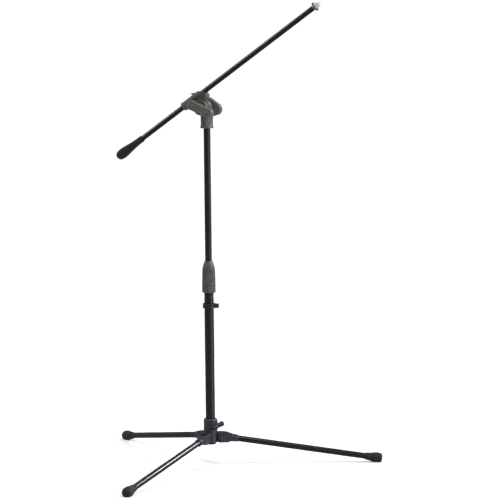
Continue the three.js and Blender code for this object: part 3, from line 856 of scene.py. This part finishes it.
def boom_clamp():
    across, near = boom_foot.y, boom_foot.z
    webs = [
        extruded([(x, -12), (x + 2, -12), (x + 2, across - 6), (x, across - 6)], 12, 33)
        for x in (-14, 0, 12)
    ]
    rim = turned(rounded(sleeve(20, 22.8, 9.7, 13), 1), "z", 96)
    flap = extruded([
        (26, across + 1), (20, across + 10), (7, across + 13.2), (-6, across + 19.2),
        (-8.5, across + 18.4), (-2, across + 10), (2, across + 4),
    ], 24, 29)
    far = clamp_mesh(CLAMP_LOW, near - GAP, 23, 20, near - GAP, [*webs, rim, flap], [])
    piece("clamp_half_far", far, BOOM, "boom_clamp", OLIVE, ["boom_clamp_far"])

    dish = turned(rounded([
        [12, 44.4], [18.5, 44.4], [18.5, 48], [12, 48], [12, 44.4],
    ], 0.8), "z", 96)
    seams = [
        extruded([(x, 10), (x + 1.6, 10), (x + 1.6, across - 8), (x, across - 8)], 42.3, 45)
        for x in (-15, -5, 5, 14)
    ]
    near_half = clamp_mesh(near + GAP, CLAMP_HIGH, 21, near + GAP, 43.5, [], [dish, *seams])
    piece(
        "clamp_half_near", near_half, BOOM, "boom_clamp", OLIVE,
        ["boom_clamp_near"],
    )

    liner = turned(rounded(sleeve(LINER_BORE, LINER_RADIUS, LINER_REAR, LINER_FRONT), 0.3), "x")
    moved(liner, y=across, z=near)
    piece("boom_clamp_liner", liner, BOOM, "boom_liner", NYLON, ["boom_liner"])

    washer = turned(rounded(sleeve(BOLT_HOLE, 9, 46.3, 47.7), 0.3), sides=48)
    piece(
        "handle_washer", washer, BOOM, "boom_clamp", ZINC_STEEL_PAINTED_REFLECTION,
        ["clutch_washer"],
    )


def tilt_handle():
    """T-shaped tilt handle: a ribbed bar with rounded ends on a round boss."""
    end, half, waist, shift = 28, 14, 12.5, 6

    def outline(inset):
        return [
            *arc((shift + end, 0), half - inset, -80, 80), (shift, waist - inset),
            *arc((shift - end, 0), half - inset, 100, 260), (shift, inset - waist),
        ]

    bar = extruded(outline(0), 51, 61.5)
    crown = extruded(outline(2), 55, 64)
    boss = turned(rounded(rod(10.5, 48, 53), 0.8))
    grooves = [block((-27, y - 1.2, 62.3), (39, y + 1.2, 66)) for y in (-7.5, -2.5, 2.5, 7.5)]
    pocket = turned(rod(BOLT_HOLE, 47, BOLT_END + GAP))
    mesh = moulded([bar, crown, boss], [pocket, *grooves], 0.5, 2, 0.6)
    mesh.transform(Matrix.Rotation(-HANDLE_FALL - math.asin(boom_axis.z), 4, "Z"))
    piece(
        "tilt_handle_tee", mesh, BOOM, "tilt_handle", HANDLE_GREY,
        ["tilt_handle"],
    )


# ---------- boom ----------
BOOM_LINE = (
    BOOM @ Matrix.Translation(Vector((0, boom_foot.y, boom_foot.z)) * MM)
    @ Matrix.Rotation(math.pi / 2, 4, "Y")
)
BOOM_TUBE_BORE, BOOM_TUBE_RADIUS, BOOM_TUBE_REAR, BOOM_TUBE_FRONT = 6.3, 7.3, -288, 440
BOOM_GRIP_REAR, BOOM_GRIP_FRONT, BOOM_GRIP_RADIUS = -299, -202, 14.3
STUD_RADIUS, STUD_FLANGE, STUD_FLANGE_RADIUS, STUD_END = 7.9, 440.3, 9.5, 459
RING_BORE, RING_RADIUS, RING_LOW, RING_HIGH = 8.2, 13, 442.6, 445.6


def boom_tube_and_grip():
    profile = sleeve(BOOM_TUBE_BORE, BOOM_TUBE_RADIUS, BOOM_TUBE_REAR, BOOM_TUBE_FRONT)
    tube = turned(rounded(profile, 0.4))
    piece("boom_tube_coated", tube, BOOM_LINE, "boom", COATED, ["boom_tube"])

    rear, front = BOOM_GRIP_REAR, BOOM_GRIP_FRONT
    body = [
        [0, rear], [4, rear + 0.4], [7.6, rear + 1.8], [10.4, rear + 4.6], [12.4, rear + 8.4],
        [13.7, rear + 13.5], [BOOM_GRIP_RADIUS, rear + 20], [14.2, rear + 27],
        [13.2, rear + 37], [11.6, rear + 50], [10.3, rear + 63], [9.5, rear + 76],
    ]
    for ring in (81, 86, 91):
        body += [[9.3, rear + ring - 1.6], [8.8, rear + ring], [9.3, rear + ring + 1.6]]
    body += [
        [9.3, rear + 94.5], [8.7, front], [7.6, front], [7.6, BOOM_TUBE_REAR - GAP],
        [0, BOOM_TUBE_REAR - GAP],
    ]
    grip = turned(rounded(body, 1, 3), sides=96)
    piece("boom_rear_grip", grip, BOOM_LINE, "boom", BLUE_RUBBER, ["boom_grip"])


def boom_tip():
    """Stud with its thread cut in, and the knurled lock ring that turns on it."""
    flange, end = STUD_FLANGE, STUD_END
    stud = [
        [0, 420], [6, 420], [6, flange], [STUD_FLANGE_RADIUS, flange],
        [STUD_FLANGE_RADIUS, flange + 2], [STUD_RADIUS, flange + 2],
        *[[STUD_RADIUS, z] for z in along_steps(flange + 2.3, end - 1, 0.12)],
        [STUD_RADIUS - 1, end], [4.4, end], [4.4, end - 8], [0, end - 8],
    ]
    thread = screw_thread(0.94, 0.55, flange + 2.2, end)

    def shape(radius, along, angle):
        return thread(radius, along, angle) if abs(radius - STUD_RADIUS) < 0.05 else radius

    mesh = turned(stud, sides=72, shape=shape)
    piece(
        "mic_thread_stud", mesh, BOOM_LINE, "boom", ZINC_STEEL_PAINTED_REFLECTION, ["tip_stud"],
        True,
    )

    low, high = RING_LOW, RING_HIGH
    rim = [[RING_RADIUS, z] for z in along_steps(low + 0.5, high - 0.5, 0.5)]
    profile = [
        [RING_BORE, low], [RING_RADIUS - 0.8, low], *rim, [RING_RADIUS - 0.8, high],
        [RING_BORE, high], [RING_BORE, low],
    ]
    knurl = fluted(36, 0.7, low + 0.1, high - 0.1, 0.6)
    ring = turned(rounded(profile, 0.3, 2), sides=216, shape=knurl)
    piece(
        "lock_ring", ring, BOOM_LINE, "tip_ring", CHARCOAL, ["tip_ring"], True,
    )


# ---------- stage ----------
def camera():
    """Camera on the photograph's view: a long lens above the stand, looking slightly down."""
    distance, height, focal_share = 7.701, 1.545, 5.518
    yaw, pitch, roll = (math.radians(angle) for angle in (0.87, 6.90, -0.59))
    level = math.cos(pitch)
    forward = Vector((math.sin(yaw) * level, math.cos(yaw) * level, -math.sin(pitch)))
    right = Vector((math.cos(yaw), -math.sin(yaw), 0))
    above = right.cross(forward)
    side = right * math.cos(roll) + above * math.sin(roll)
    top = -right * math.sin(roll) + above * math.cos(roll)
    data = bpy.data.cameras.new("camera")
    data.sensor_width = 36
    data.lens = focal_share * data.sensor_width
    data.clip_end = 200
    obj = bpy.data.objects.new("camera", data)
    obj.matrix_world = placed(mast_foot + Vector((0, -distance, height)), side, top, -forward)
    bpy.context.scene.collection.objects.link(obj)
    bpy.context.scene.camera = obj


def soft_sun(name, towards, angle, strength):
    """A wide, far lamp: even light on the whole floor and soft-edged shadows."""
    data = bpy.data.lights.new(name, "SUN")
    data.angle = math.radians(angle)
    data.energy = strength
    obj = bpy.data.objects.new(name, data)
    obj.rotation_euler = Vector(towards).to_track_quat("-Z", "Y").to_euler()
    bpy.context.scene.collection.objects.link(obj)


def softbox(name, place, width, height, power):
    """A tall soft panel facing the mast, which upright tubes mirror as a light strip."""
    data = bpy.data.lights.new(name, "AREA")
    data.shape = "RECTANGLE"
    data.size, data.size_y, data.energy = width, height, power
    obj = bpy.data.objects.new(name, data)
    obj.location = place
    towards = Vector((mast_foot.x, mast_foot.y, place[2])) - Vector(place)
    obj.rotation_euler = towards.to_track_quat("-Z", "Y").to_euler()
    obj.visible_camera = False
    bpy.context.scene.collection.objects.link(obj)


def studio_world():
    """White backdrop for the camera; the light that falls on the stand is dimmer."""
    world = bpy.data.worlds.new("studio")
    world.use_nodes = True
    tree = world.node_tree
    room = tree.nodes["Background"]
    room.inputs["Color"].default_value = (1, 1, 1, 1)
    room.inputs["Strength"].default_value = ROOM_LIGHT
    backdrop = tree.nodes.new("ShaderNodeBackground")
    backdrop.inputs["Color"].default_value = (1, 1, 1, 1)
    backdrop.inputs["Strength"].default_value = BACKDROP_LIGHT
    path = tree.nodes.new("ShaderNodeLightPath")
    mix = tree.nodes.new("ShaderNodeMixShader")
    tree.links.new(path.outputs["Is Camera Ray"], mix.inputs["Fac"])
    tree.links.new(room.outputs["Background"], mix.inputs[1])
    tree.links.new(backdrop.outputs["Background"], mix.inputs[2])
    tree.links.new(mix.outputs["Shader"], tree.nodes["World Output"].inputs["Surface"])
    bpy.context.scene.world = world


def stage():
    half = FLOOR_HALF_SIZE
    corners = [(-half, -half, 0), (half, -half, 0), (half, half, 0), (-half, half, 0)]
    floor = scratch_object(mesh_from(corners, [[0, 1, 2, 3]]))
    floor.name = "floor"
    floor.data.materials.append(floor_material())
    floor.visible_glossy = False  # mirrored, the white floor would brighten the tubes from below
    studio_world()
    bpy.context.scene.view_settings.view_transform = "Standard"
    soft_sun("key_right", (-0.85, 0.35, -0.5), 18, 1.3)
    soft_sun("rim_right", (-0.77, -0.44, -0.45), 14, 1.5)
    soft_sun("fill_left", (0.85, -0.1, -0.5), 20, 0.8)
    soft_sun("overhead", (0.05, 0.3, -1), 18, 1.2)
    softbox("panel_right", (2.7, -1.3, 0.5), 2.4, 3.6, 26)


camera()
stage()
lower_mast()
height_clutch()
upper_mast()
cable_clip()
hub()
hub_screw()
legs()
swivel_head()
boom_clamp()
tilt_handle()
boom_tube_and_grip()
boom_tip()
